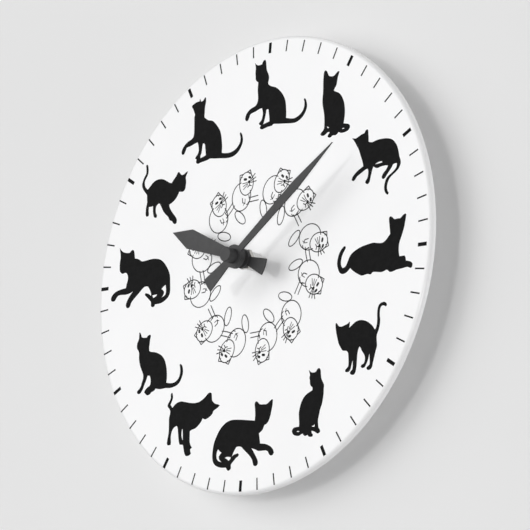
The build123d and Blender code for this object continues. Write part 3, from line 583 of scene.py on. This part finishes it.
         (-10, -121.7), (-11.2, -122.1), (-12.5, -121.5), (-13.4, -120.3), (-16.2, -120.2),
         (-19.7, -119.6), (-22.5, -118.4), (-24.4, -116.5), (-25.3, -114), (-25.5, -110.9),
         (-25.1, -106.5), (-24.1, -103.4), (-21.9, -99.3), (-19.7, -96.5), (-16.9, -94.3),
         (-13.8, -92.9), (-10.6, -92.4), (-5, -92.6), (1.2, -93.2), (7.8, -93.9), (7.8, -90.2),
         (7.3, -87.1)],
        [[(-21, -109.1), (-19.4, -110.4), (-17.9, -111.2), (-18.9, -112.1), (-20, -113.4),
          (-19.4, -115.2), (-17.4, -116.8), (-19.9, -116.1), (-21.5, -114.7), (-22, -112.7),
          (-21.8, -110.4)],
         [(-14.9, -114.5), (-13.1, -113.9), (-10, -114.3), (-10.2, -115.3), (-11.6, -116.3),
          (-13.1, -115.2)]]),
    7: ([(-64.9, -73.8), (-64.3, -72.8), (-63.5, -73.1), (-62.9, -75.9), (-63.6, -78.1), (-64.5, -80),
         (-63.4, -81.2), (-62.6, -82), (-61.2, -80.6), (-58.8, -79.2), (-55.6, -78.6), (-51.9, -79.2),
         (-48.1, -79.9), (-44.4, -80.3), (-40.6, -80), (-37.5, -78.8), (-35, -77.2), (-32.8, -75.3),
         (-31.2, -74.9), (-29.9, -75.4), (-29.5, -77.2), (-29.1, -79.6), (-28.1, -80.6), (-26.6, -81.7),
         (-23.8, -82.4), (-22.2, -83.1), (-24.4, -84.6), (-27.2, -86.1), (-28.1, -87.8), (-30, -89.2),
         (-32.2, -90.3), (-34.1, -90.6), (-36, -89.9), (-36.9, -91.6), (-39.1, -93.8), (-41.6, -95.5),
         (-44.4, -96.2), (-46.1, -96.9), (-45.9, -100), (-45.6, -103.1), (-44.7, -105.3),
         (-43.3, -106.9), (-44.7, -107.7), (-44.6, -108.6), (-43.8, -110.3), (-45, -111.3),
         (-47.8, -111.6), (-49.2, -110.3), (-50.3, -107.5), (-51.2, -104.8), (-54.1, -104.5),
         (-54.8, -103.1), (-55.6, -100), (-56.4, -96.2), (-57, -94.1), (-58, -93.1), (-59.7, -93.8),
         (-61.2, -95.3), (-62, -97.5), (-62.2, -100), (-61.8, -102.5), (-61.8, -104.2), (-64.1, -104.5),
         (-65.1, -103.4), (-65, -101.2), (-64.5, -98.1), (-64.4, -95), (-64.7, -91.3), (-64.9, -88.1),
         (-64.4, -85.6), (-64.4, -83.8), (-65.3, -82.5), (-66.9, -81), (-66.9, -79.7), (-65.8, -78.1),
         (-64.8, -76.2)],
        [[(-52.9, -95.4), (-52.5, -95.3), (-52, -98.4), (-51.6, -102.4), (-52.8, -100), (-53.2, -97.6)]]),
    8: ([(-97.2, -33.8), (-96.4, -33.7), (-95.4, -35.1), (-94.2, -36.9), (-90.1, -37.4), (-89.2, -36.3),
         (-87.3, -35.7), (-86.6, -36.6), (-87, -38.8), (-87.1, -41.3), (-87.3, -43.5), (-87, -45.7),
         (-85.4, -46.4), (-82, -46.9), (-79.2, -47.7), (-76.7, -48.8), (-74.5, -50.4), (-72.6, -52.6),
         (-71.4, -55), (-70.4, -57.9), (-69.8, -61), (-69.6, -64.1), (-69.8, -66.3), (-67, -66.8),
         (-63.3, -66.8), (-60.8, -65.7), (-59.2, -64.1), (-58.4, -61.6), (-58.4, -59.1), (-58.9, -57.3),
         (-59.3, -56.3), (-58.6, -55.8), (-57.3, -56.6), (-56.2, -58.8), (-55.9, -61.6), (-56.7, -64.4),
         (-58.2, -66.9), (-60.4, -68.5), (-63.3, -69.4), (-66.4, -69.8), (-70.1, -69.6), (-74.5, -69.9),
         (-78.9, -69.3), (-79.8, -70.4), (-82.2, -71.3), (-83.2, -72.2), (-84.8, -72.9), (-86.4, -72.7),
         (-87.5, -71.9), (-88.6, -71), (-88.2, -70), (-87, -68.8), (-85.7, -67.9), (-84.2, -67.2),
         (-83.7, -66), (-83.7, -64.1), (-84.2, -62.3), (-84.9, -61), (-86.7, -60.9), (-87.3, -62.3),
         (-87.9, -64.1), (-88.9, -66), (-89.7, -68.2), (-90.8, -70), (-92, -71.3), (-93.6, -71.7),
         (-94.9, -71), (-95, -70), (-93.9, -69), (-92.6, -67.9), (-91.9, -66.6), (-91.4, -64.8),
         (-90.6, -62.6), (-90.7, -60.4), (-91.4, -58.8), (-92.6, -56.9), (-93.9, -54.7), (-94.8, -52.6),
         (-95.6, -49.8), (-95.9, -46.5), (-96.7, -45), (-97.8, -43.8), (-98.3, -42.3), (-98.3, -40.4),
         (-97.5, -38.8), (-97, -37.2)], []),
    9: ([(-121, 21), (-119.9, 19.9), (-117.7, 18.3), (-114.6, 17.4), (-111.5, 17.1), (-110.5, 18.2),
         (-109, 18.7), (-107.9, 18), (-107.1, 15.9), (-106.5, 13.1), (-104.3, 12.7), (-101.8, 11.7),
         (-99.9, 10.7), (-95.9, 10.8), (-91.5, 11.2), (-87.1, 11), (-83.4, 10.1), (-80.6, 8.4),
         (-77.7, 5.6), (-74.9, 1.8), (-73.7, -1), (-73.1, -5.4), (-72.6, -9.8), (-72.9, -12.2),
         (-74.3, -14.2), (-77.1, -16), (-80.9, -17.2), (-85.1, -17.3), (-85.3, -18.1), (-86.2, -18.8),
         (-87.5, -18.8), (-88.7, -18.1), (-88.9, -15.7), (-90.2, -14.4), (-92.1, -12.9), (-94, -11.5),
         (-95, -10.5), (-94.3, -9.6), (-93.1, -9.9), (-91.2, -10.5), (-89.3, -11.7), (-89.3, -10.7),
         (-90.2, -8.8), (-91.5, -6.9), (-92.8, -5.7), (-94.9, -5.5), (-97.1, -6.3), (-99, -7.9),
         (-102.1, -10.4), (-105.2, -12.9), (-106.8, -14.7), (-107.4, -16.3), (-108.4, -17.4),
         (-110.1, -17.4), (-111.3, -16), (-110.9, -13.8), (-109, -10.7), (-106.5, -8), (-105.3, -7.3),
         (-108.4, -8.4), (-112.1, -8.9), (-118.4, -8.8), (-120.2, -10), (-121.5, -11.7),
         (-123.4, -12.3), (-125.2, -11.6), (-125.4, -10), (-124.3, -8.2), (-122.1, -6.6),
         (-118.4, -5.5), (-112.6, -4.8), (-112.1, -2.2), (-111.4, 0.3), (-111.6, 2.4), (-113.1, 4.6),
         (-114.6, 4.9), (-116.5, 4.5), (-118.1, 5.2), (-119.3, 6.5), (-119.8, 9), (-119.9, 12.1),
         (-119.6, 14.6), (-119.9, 17.1), (-120.6, 19.3)],
        [[(-77.1, -6), (-76.6, -7.3), (-76.2, -9.8), (-76.5, -11.9), (-77.8, -12.9), (-79.9, -13.7),
          (-78.4, -12.2), (-77.9, -10.4), (-79, -9.1), (-80.4, -8.4), (-79.2, -7.3)],
         [(-88.1, -11.6), (-86, -11.4), (-83.9, -11.3), (-84.6, -12.2), (-85.9, -12.9), (-87.1, -13.4)]]),
    10: ([(-102.9, 70.9), (-102.3, 71.5), (-101.4, 71.2), (-100.4, 68.4), (-100.4, 65.9), (-101.1, 64),
          (-102.6, 61.8), (-102.9, 59.9), (-102, 57.4), (-99.8, 55.5), (-98.2, 56.8), (-95.7, 59.1),
          (-92.6, 60.6), (-89.5, 60.9), (-86.4, 60.4), (-83.2, 59), (-80.8, 57.7), (-78.6, 57.1),
          (-77, 59), (-75.1, 60.9), (-73.9, 62.9), (-72.9, 63.4), (-72, 62.7), (-70.4, 61.3),
          (-68.2, 61.3), (-66.4, 62.4), (-64.8, 62.8), (-65.3, 61.8), (-66.4, 59.3), (-65.9, 57.1),
          (-65.8, 54.6), (-66.4, 51.6), (-67.9, 50.6), (-71.3, 50.9), (-72, 49.3), (-73.6, 47.1),
          (-75.8, 45.3), (-79.3, 43.7), (-78.6, 41.8), (-76.4, 39), (-73.6, 36.2), (-71.7, 34),
          (-71.4, 31.8), (-72.6, 31), (-74.2, 31.5), (-75.8, 33.1), (-77.9, 34), (-79.5, 36.2),
          (-82, 38.1), (-84.2, 40.2), (-86.4, 43.4), (-87.9, 45.4), (-89.2, 45.4), (-90.8, 44),
          (-91.1, 42.1), (-90.7, 39.9), (-89.6, 38.2), (-89.8, 37), (-91.1, 36.8), (-92.3, 37.7),
          (-93.2, 39.9), (-93.6, 42.1), (-93.8, 44.6), (-95.1, 44.3), (-97.5, 44.3), (-97.4, 41.5),
          (-96.9, 39.7), (-97.3, 38.5), (-98.9, 38.4), (-99.8, 39.6), (-100, 42.7), (-99.8, 45.2),
          (-99.4, 47.4), (-99.8, 49.9), (-100.1, 52.1), (-102.3, 54.3), (-104.2, 56.5), (-105.2, 59),
          (-104.8, 61.2), (-103.6, 63.7), (-102.3, 65.9), (-102.3, 68.1)], []),
    11: ([(-65.7, 103.6), (-64.6, 104.4), (-61.8, 105.5), (-59.4, 105.7), (-59, 107.4), (-57.9, 105.3),
          (-56.2, 105.7), (-54.6, 107.6), (-53.8, 107.2), (-53.6, 104.4), (-54, 102), (-54.1, 99.4),
          (-54, 97.5), (-54, 95.4), (-53.1, 94.4), (-50.3, 92.8), (-46.5, 91.8), (-43.7, 89.7),
          (-41.5, 87.5), (-39.3, 84.7), (-38.1, 81.9), (-37.3, 78.8), (-36.6, 75), (-36.4, 70.7),
          (-34, 70.2), (-29.6, 70), (-25.9, 70.9), (-23.4, 72.5), (-21.8, 74.4), (-21.2, 75.9),
          (-21.2, 78.1), (-22, 80.6), (-21.6, 81.4), (-20.6, 80.8), (-19.3, 78.1), (-19, 75.6),
          (-19.9, 72.8), (-21.8, 70), (-24.6, 68), (-27.8, 67), (-32.1, 66.9), (-37.8, 67.5),
          (-42.1, 67.9), (-46.5, 68.4), (-48.4, 67.8), (-51.5, 67.3), (-54.6, 66.9), (-56.2, 66.4),
          (-57.8, 66.9), (-58.4, 67.8), (-58, 69.2), (-59.3, 70), (-58.7, 71.3), (-57.4, 72.5),
          (-56.8, 74), (-56.8, 75.6), (-57.4, 78.1), (-58.2, 80), (-60.9, 79.4), (-64.6, 78.3),
          (-67.4, 77.8), (-68.2, 76.3), (-69, 74.7), (-69.9, 73.8), (-71.2, 73.9), (-71.8, 75),
          (-71.6, 76.6), (-70.6, 78.4), (-69, 80), (-66.5, 81.6), (-64, 82.5), (-62.8, 83.4),
          (-62.1, 85), (-62, 87.5), (-62.3, 90.6), (-62.6, 93.8), (-62.8, 96.3), (-62.5, 97.8),
          (-63.4, 99.7), (-64.3, 101.3), (-65.3, 102.6)],
         [[(-53.4, 78.8), (-51.8, 78), (-51.2, 75.6), (-50.6, 73.1), (-50.2, 71), (-51.6, 70.5),
           (-54.7, 69.7), (-54.9, 71), (-54.2, 72.8), (-53.9, 75), (-53.8, 77.2)]]),
}

for hour, (outline, gaps) in CATS.items():
    flat_ink(f"cat_print_{hour:02d}", [smooth(outline)], [smooth(gap) for gap in gaps])


# ---- the inner ring: twelve small line-drawn cats with oval tails ----

RING_CENTRE = Vector((-1.7, -2.0))
RING_R = 45.9
RING_START = -16.0
PAIR_SHIFT = 1.4
PEN = 0.6
FINE_PEN = 0.45
DOT_PEN = 1.5


def oval(centre, long_half, short_half, tilt_deg, share=1.0, start_deg=0.0, count=22):
    """Points round an ellipse, or a share of it, as a closed run for a pen stroke."""
    tilt, begin = math.radians(tilt_deg), math.radians(start_deg)
    out = []
    for i in range(count + 1):
        a = begin + share * math.tau * i / count
        x, z = long_half * math.cos(a), short_half * math.sin(a)
        out.append(Vector(centre) + Vector((x * math.cos(tilt) - z * math.sin(tilt),
                                            x * math.sin(tilt) + z * math.cos(tilt))))
    return out


def line_cat(reaching):
    """Pen lines of one small seated cat: outward is up, and it looks clockwise."""
    body = oval((-1.4, 0.0), 8.6, 7.7, 76, 0.79, 4)
    lines = [
        (body, PEN),
        (oval((4.2, 6.2), 7.0, 5.7, 78), PEN),
        (oval((-5.0, -12.1), 5.6, 2.6, -58), PEN),
        ([(-0.9, 8.9), (0.2, 13.4), (2.9, 12.9)], PEN),
        ([(5.9, 12.9), (9.0, 13.3), (9.3, 9.2)], PEN),
        ([(0.7, 12.1), (1.8, 11.4)], FINE_PEN),
        ([(7.8, 12.1), (7.7, 11.2)], FINE_PEN),
        ([(-0.8, -1.4), (-1.2, -4.0), (0.6, -5.2)], PEN),
        ([(1.2, -2.6), (0.6, -4.6), (-1.0, -5.8)], FINE_PEN),
        ([(3.3, 9.4), (4.5, 8.9)], DOT_PEN),
        ([(7.2, 9.2), (8.0, 8.6)], DOT_PEN),
        ([(6.1, 6.5), (7.1, 6.6), (6.8, 5.9)], DOT_PEN),
        ([(6.7, 5.8), (6.3, 4.2), (4.7, 3.7)], PEN),
        ([(6.4, 4.3), (7.7, 3.4)], PEN),
    ]
    for spread in (-1.0, 0.0, 1.0):
        lines.append(([(8.0, 6.3 + spread * 0.9), (12.2, 7.0 + spread * 2.4)], PEN))
        lines.append(([(5.0, 5.9 + spread * 0.7), (1.2, 5.6 + spread * 1.9)], FINE_PEN))
    if reaching:
        lines.append(([(3.4, -4.6), (8.2, -4.7), (12.6, -4.3)], PEN))
        lines.append(([(4.6, -1.8), (8.4, -1.9), (12.8, -1.6)], PEN))
    else:
        lines.append(([(3.2, -5.6), (7.4, -6.6), (11.4, -7.6)], PEN))
        lines.append(([(4.4, -3.2), (8.0, -4.0), (11.6, -4.8)], PEN))
    lines.append(([(1.6, -6.4), (3.4, -6.2), (4.6, -4.6), (4.6, -1.6)], PEN))
    return lines


def ring_of_cats():
    for index in range(12):
        reaching = index % 2 == 1
        angle = math.radians(RING_START + index * 30 + (PAIR_SHIFT if reaching else -PAIR_SHIFT))
        up = Vector((math.sin(angle), math.cos(angle)))
        side = Vector((up.y, -up.x))
        outlines = []
        for line, width in line_cat(reaching):
            placed = [RING_CENTRE + up * (RING_R + p[1]) + side * p[0] for p in line]
            outlines += stroke(placed, width)
        flat_ink(f"line_cat_{index:02d}", outlines, paint="line_ink")


ring_of_cats()


# ---- dial: the disc with a fine smooth rim ----

RIM_ROUND = 2.5
BACK_ROUND = 0.4
HOLE_R = 4.15
ROUND_STEPS = 12
BACK_STEPS = 4
SHARP_DEG = 32
DIAL_SEGMENTS = 360


def lathe(name, profile, segments, paint, body, centre=(0.0, 0.0)):
    """A closed ring turned about the Y axis from (radius, y) points in metres."""
    mesh = bmesh.new()
    rings = []
    for k in range(segments):
        a = math.tau * k / segments
        rings.append([mesh.verts.new((centre[0] + r * math.sin(a), y, centre[1] + r * math.cos(a)))
                      for r, y in profile])
    for k in range(segments):
        one, two = rings[k], rings[(k + 1) % segments]
        for i in range(len(profile)):
            j = (i + 1) % len(profile)
            mesh.faces.new((one[i], one[j], two[j], two[i]))
    bmesh.ops.recalc_face_normals(mesh, faces=mesh.faces)
    for face in mesh.faces:
        face.smooth = True
    piece = shown(name, mesh, paint)
    piece.data.set_sharp_from_angle(angle=math.radians(SHARP_DEG))
    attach(piece, body)
    return piece


def dial():
    low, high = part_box("dial_disc")
    radius = (high.x - low.x) / 2
    profile = [(HOLE_R * MM, low.y)]
    for k in range(ROUND_STEPS + 1):
        a = math.pi / 2 * k / ROUND_STEPS
        inset = RIM_ROUND * MM
        profile.append((radius - inset + inset * math.sin(a), low.y + inset - inset * math.cos(a)))
    for k in range(BACK_STEPS + 1):
        a = math.pi / 2 * k / BACK_STEPS
        inset = BACK_ROUND * MM
        profile.append((radius - inset + inset * math.cos(a), high.y - inset + inset * math.sin(a)))
    profile.append((HOLE_R * MM, high.y))
    piece = lathe("dial_plate", profile, DIAL_SEGMENTS, "acrylic_white", "clock_body")
    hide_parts("dial_disc")


dial()


# ---- moulded marks on the back, raised from the lid and the setting knob ----

MARK_RISE = 0.25
MARK_SINK = 0.1
MARK_PEN = 0.7
KNOB_RIBS = 12
SIGN_X = 24.6
SIGN_HALF = 1.3
SIGN_ABOVE_BAY = 2.6
ARROW_R = 8.0
ARROW_ANGLES = range(25, 156, 10)
HEAD_AHEAD = 0.5
HEAD_BACK = 1.5
HEAD_ASIDE = 1.4
RIB_FROM = 2.4
RIB_TO = 4.7
RIB_PEN = 0.55
LID_RIBS = (12.0, 15.0, 18.0, 21.0)
LID_RIB_HALF = 15.0


def raised(name, outlines, back_y, paint, body):
    """Low relief on a face that looks along +Y, from the union of outlines in millimetres."""
    verts, faces = [], []
    for outline in outlines:
        faces.append(list(range(len(verts), len(verts) + len(outline))))
        verts.extend(anticlockwise(outline))
    points, _, triangles, _, _, origins = delaunay_2d_cdt(verts, [], faces, 1, 1e-5)
    mesh = bmesh.new()
    made = [mesh.verts.new((p.x * MM, back_y - MARK_SINK * MM, p.y * MM)) for p in points]
    for t in [t for t, o in zip(triangles, origins) if o]:
        mesh.faces.new([made[i] for i in t])
    for v in [v for v in mesh.verts if not v.link_faces]:
        mesh.verts.remove(v)
    grown = bmesh.ops.extrude_face_region(mesh, geom=mesh.faces[:])
    shift = Vector((0, (MARK_SINK + MARK_RISE) * MM, 0))
    bmesh.ops.translate(mesh, vec=shift, verts=[v for v in grown["geom"] if isinstance(v, bmesh.types.BMVert)])
    bmesh.ops.recalc_face_normals(mesh, faces=mesh.faces)
    piece = shown(name, mesh, paint)
    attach(piece, body)
    return piece


def knob_centre():
    low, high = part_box("setting_knob")
    return Vector(((low.x + high.x) / 2 / MM, (low.z + high.z) / 2 / MM))


def back_marks():
    """Plus and minus over the bay's ends, a setting arrow round the knob, ribs on lid and knob."""
    lid_low, lid_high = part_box("case_back")
    hub = knob_centre()
    z = lid_low.z / MM + SIGN_ABOVE_BAY
    lines = []
    for side in (-1, 1):
        x = side * SIGN_X
        lines.append(([(x - SIGN_HALF, z), (x + SIGN_HALF, z)], MARK_PEN))
        if side > 0:
            lines.append(([(x, z - SIGN_HALF), (x, z + SIGN_HALF)], MARK_PEN))
    arc = [hub + Vector((math.cos(a), math.sin(a))) * ARROW_R for a in map(math.radians, ARROW_ANGLES)]
    ahead = (arc[-1] - arc[-2]).normalized()
    aside = Vector((-ahead.y, ahead.x))
    lines.append((arc, MARK_PEN))
    for lean in (-1, 1):
        barb = arc[-1] - ahead * HEAD_BACK + aside * HEAD_ASIDE * lean
        lines.append(([arc[-1] + ahead * HEAD_AHEAD, barb], MARK_PEN))
    for height in LID_RIBS:
        lines.append(([(-LID_RIB_HALF, height), (LID_RIB_HALF, height)], MARK_PEN))
    outlines = [outline for line, width in lines for outline in stroke(line, width)]
    raised("lid_marks", outlines, lid_high.y, "mark_paint", "clock_body")

    ribs = []
    for k in range(KNOB_RIBS):
        a = math.tau * k / KNOB_RIBS
        way = Vector((math.cos(a), math.sin(a)))
        ribs += stroke([hub + way * RIB_FROM, hub + way * RIB_TO], RIB_PEN)
    raised("knob_ribs", ribs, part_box("setting_knob")[1].y, "rib_plastic", "setting_group")


back_marks()


# ---- backdrop, light ----

WALL_HALF = 2.5
WALL_BEHIND = 0.0004
ROOM_LIGHT = 0.13


def backdrop():
    """The wall, which shows only from the front so that it never hides the clock's back."""
    mesh = bmesh.new()
    corners = [(-1, -1), (1, -1), (1, 1), (-1, 1)]
    mesh.faces.new([mesh.verts.new((x * WALL_HALF, WALL_BEHIND, z * WALL_HALF)) for x, z in corners])
    data = bpy.data.meshes.new("wall")
    mesh.to_mesh(data)
    mesh.free()
    wall = bpy.data.objects.new("wall", data)
    SCENE.collection.objects.link(wall)
    paint = Paint("wall_paint", (0.8, 0.8, 0.8), 0.85, specular=0.1)
    paint.tint(paint.noise(3.0, 3.0), 0.99, 1.01)
    tree = paint.tree
    mixer = paint.node("ShaderNodeMixShader")
    clear = paint.node("ShaderNodeBsdfTransparent")
    rays = paint.node("ShaderNodeLightPath")
    sides = paint.node("ShaderNodeNewGeometry")
    either = paint.node("ShaderNodeMath", operation="MAXIMUM")
    paint.link(rays.outputs["Is Shadow Ray"], either.inputs[0])
    paint.link(sides.outputs["Backfacing"], either.inputs[1])
    paint.link(either.outputs["Value"], mixer.inputs["Fac"])
    paint.link(paint.shader.outputs["BSDF"], mixer.inputs[1])
    paint.link(clear.outputs["BSDF"], mixer.inputs[2])
    paint.link(mixer.outputs["Shader"], tree.nodes["Material Output"].inputs["Surface"])
    data.materials.append(paint.mat)


def lamp(name, direction, spread_deg, power, direct_only=False):
    """An even light from one side; the spread sets how soft its shadows are."""
    data = bpy.data.lights.new(name, "SUN")
    data.angle = math.radians(spread_deg)
    data.energy = power
    if direct_only:
        data.cycles.max_bounces = 0
    made = bpy.data.objects.new(name, data)
    SCENE.collection.objects.link(made)
    way = Vector(direction).normalized()
    made.location = way
    made.rotation_mode = "QUATERNION"
    made.rotation_quaternion = way.to_track_quat("Z", "Y")


def from_wall_angles(sideways_deg, upwards_deg):
    """A direction given by how far it leans from the wall's normal, to the right and upwards."""
    x, z = math.tan(math.radians(sideways_deg)), math.tan(math.radians(upwards_deg))
    return Vector((x, -1.0, z))


backdrop()
lamp("window_near", from_wall_angles(-25, 8), 60, 0.92)
lamp("window_far", from_wall_angles(-48, 19), 60, 1.0)
lamp("spot", from_wall_angles(-4, 1), 9, 0.34)
lamp("fill", CAMERA_PLACE - Vector((0.0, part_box("minute_hand")[0].y, 0.0)), 7, 1.2)
lamp("back_left", Vector((-0.5, 1.0, 0.45)), 50, 1.3, direct_only=True)
lamp("back_right", Vector((0.75, 1.0, 0.1)), 50, 0.7, direct_only=True)


def room():
    """Even room light, with a pale backdrop where no wall shows."""
    world = bpy.data.worlds.new("room")
    SCENE.world = world
    world.use_nodes = True
    tree = world.node_tree
    even = tree.nodes["Background"]
    even.inputs["Color"].default_value = (1.0, 1.0, 1.0, 1)
    even.inputs["Strength"].default_value = ROOM_LIGHT
    seen = tree.nodes.new("ShaderNodeBackground")
    seen.inputs["Color"].default_value = (0.8, 0.8, 0.8, 1)
    rays = tree.nodes.new("ShaderNodeLightPath")
    mixer = tree.nodes.new("ShaderNodeMixShader")
    tree.links.new(rays.outputs["Is Camera Ray"], mixer.inputs["Fac"])
    tree.links.new(even.outputs["Background"], mixer.inputs[1])
    tree.links.new(seen.outputs["Background"], mixer.inputs[2])
    tree.links.new(mixer.outputs["Shader"], tree.nodes["World Output"].inputs["Surface"])


room()
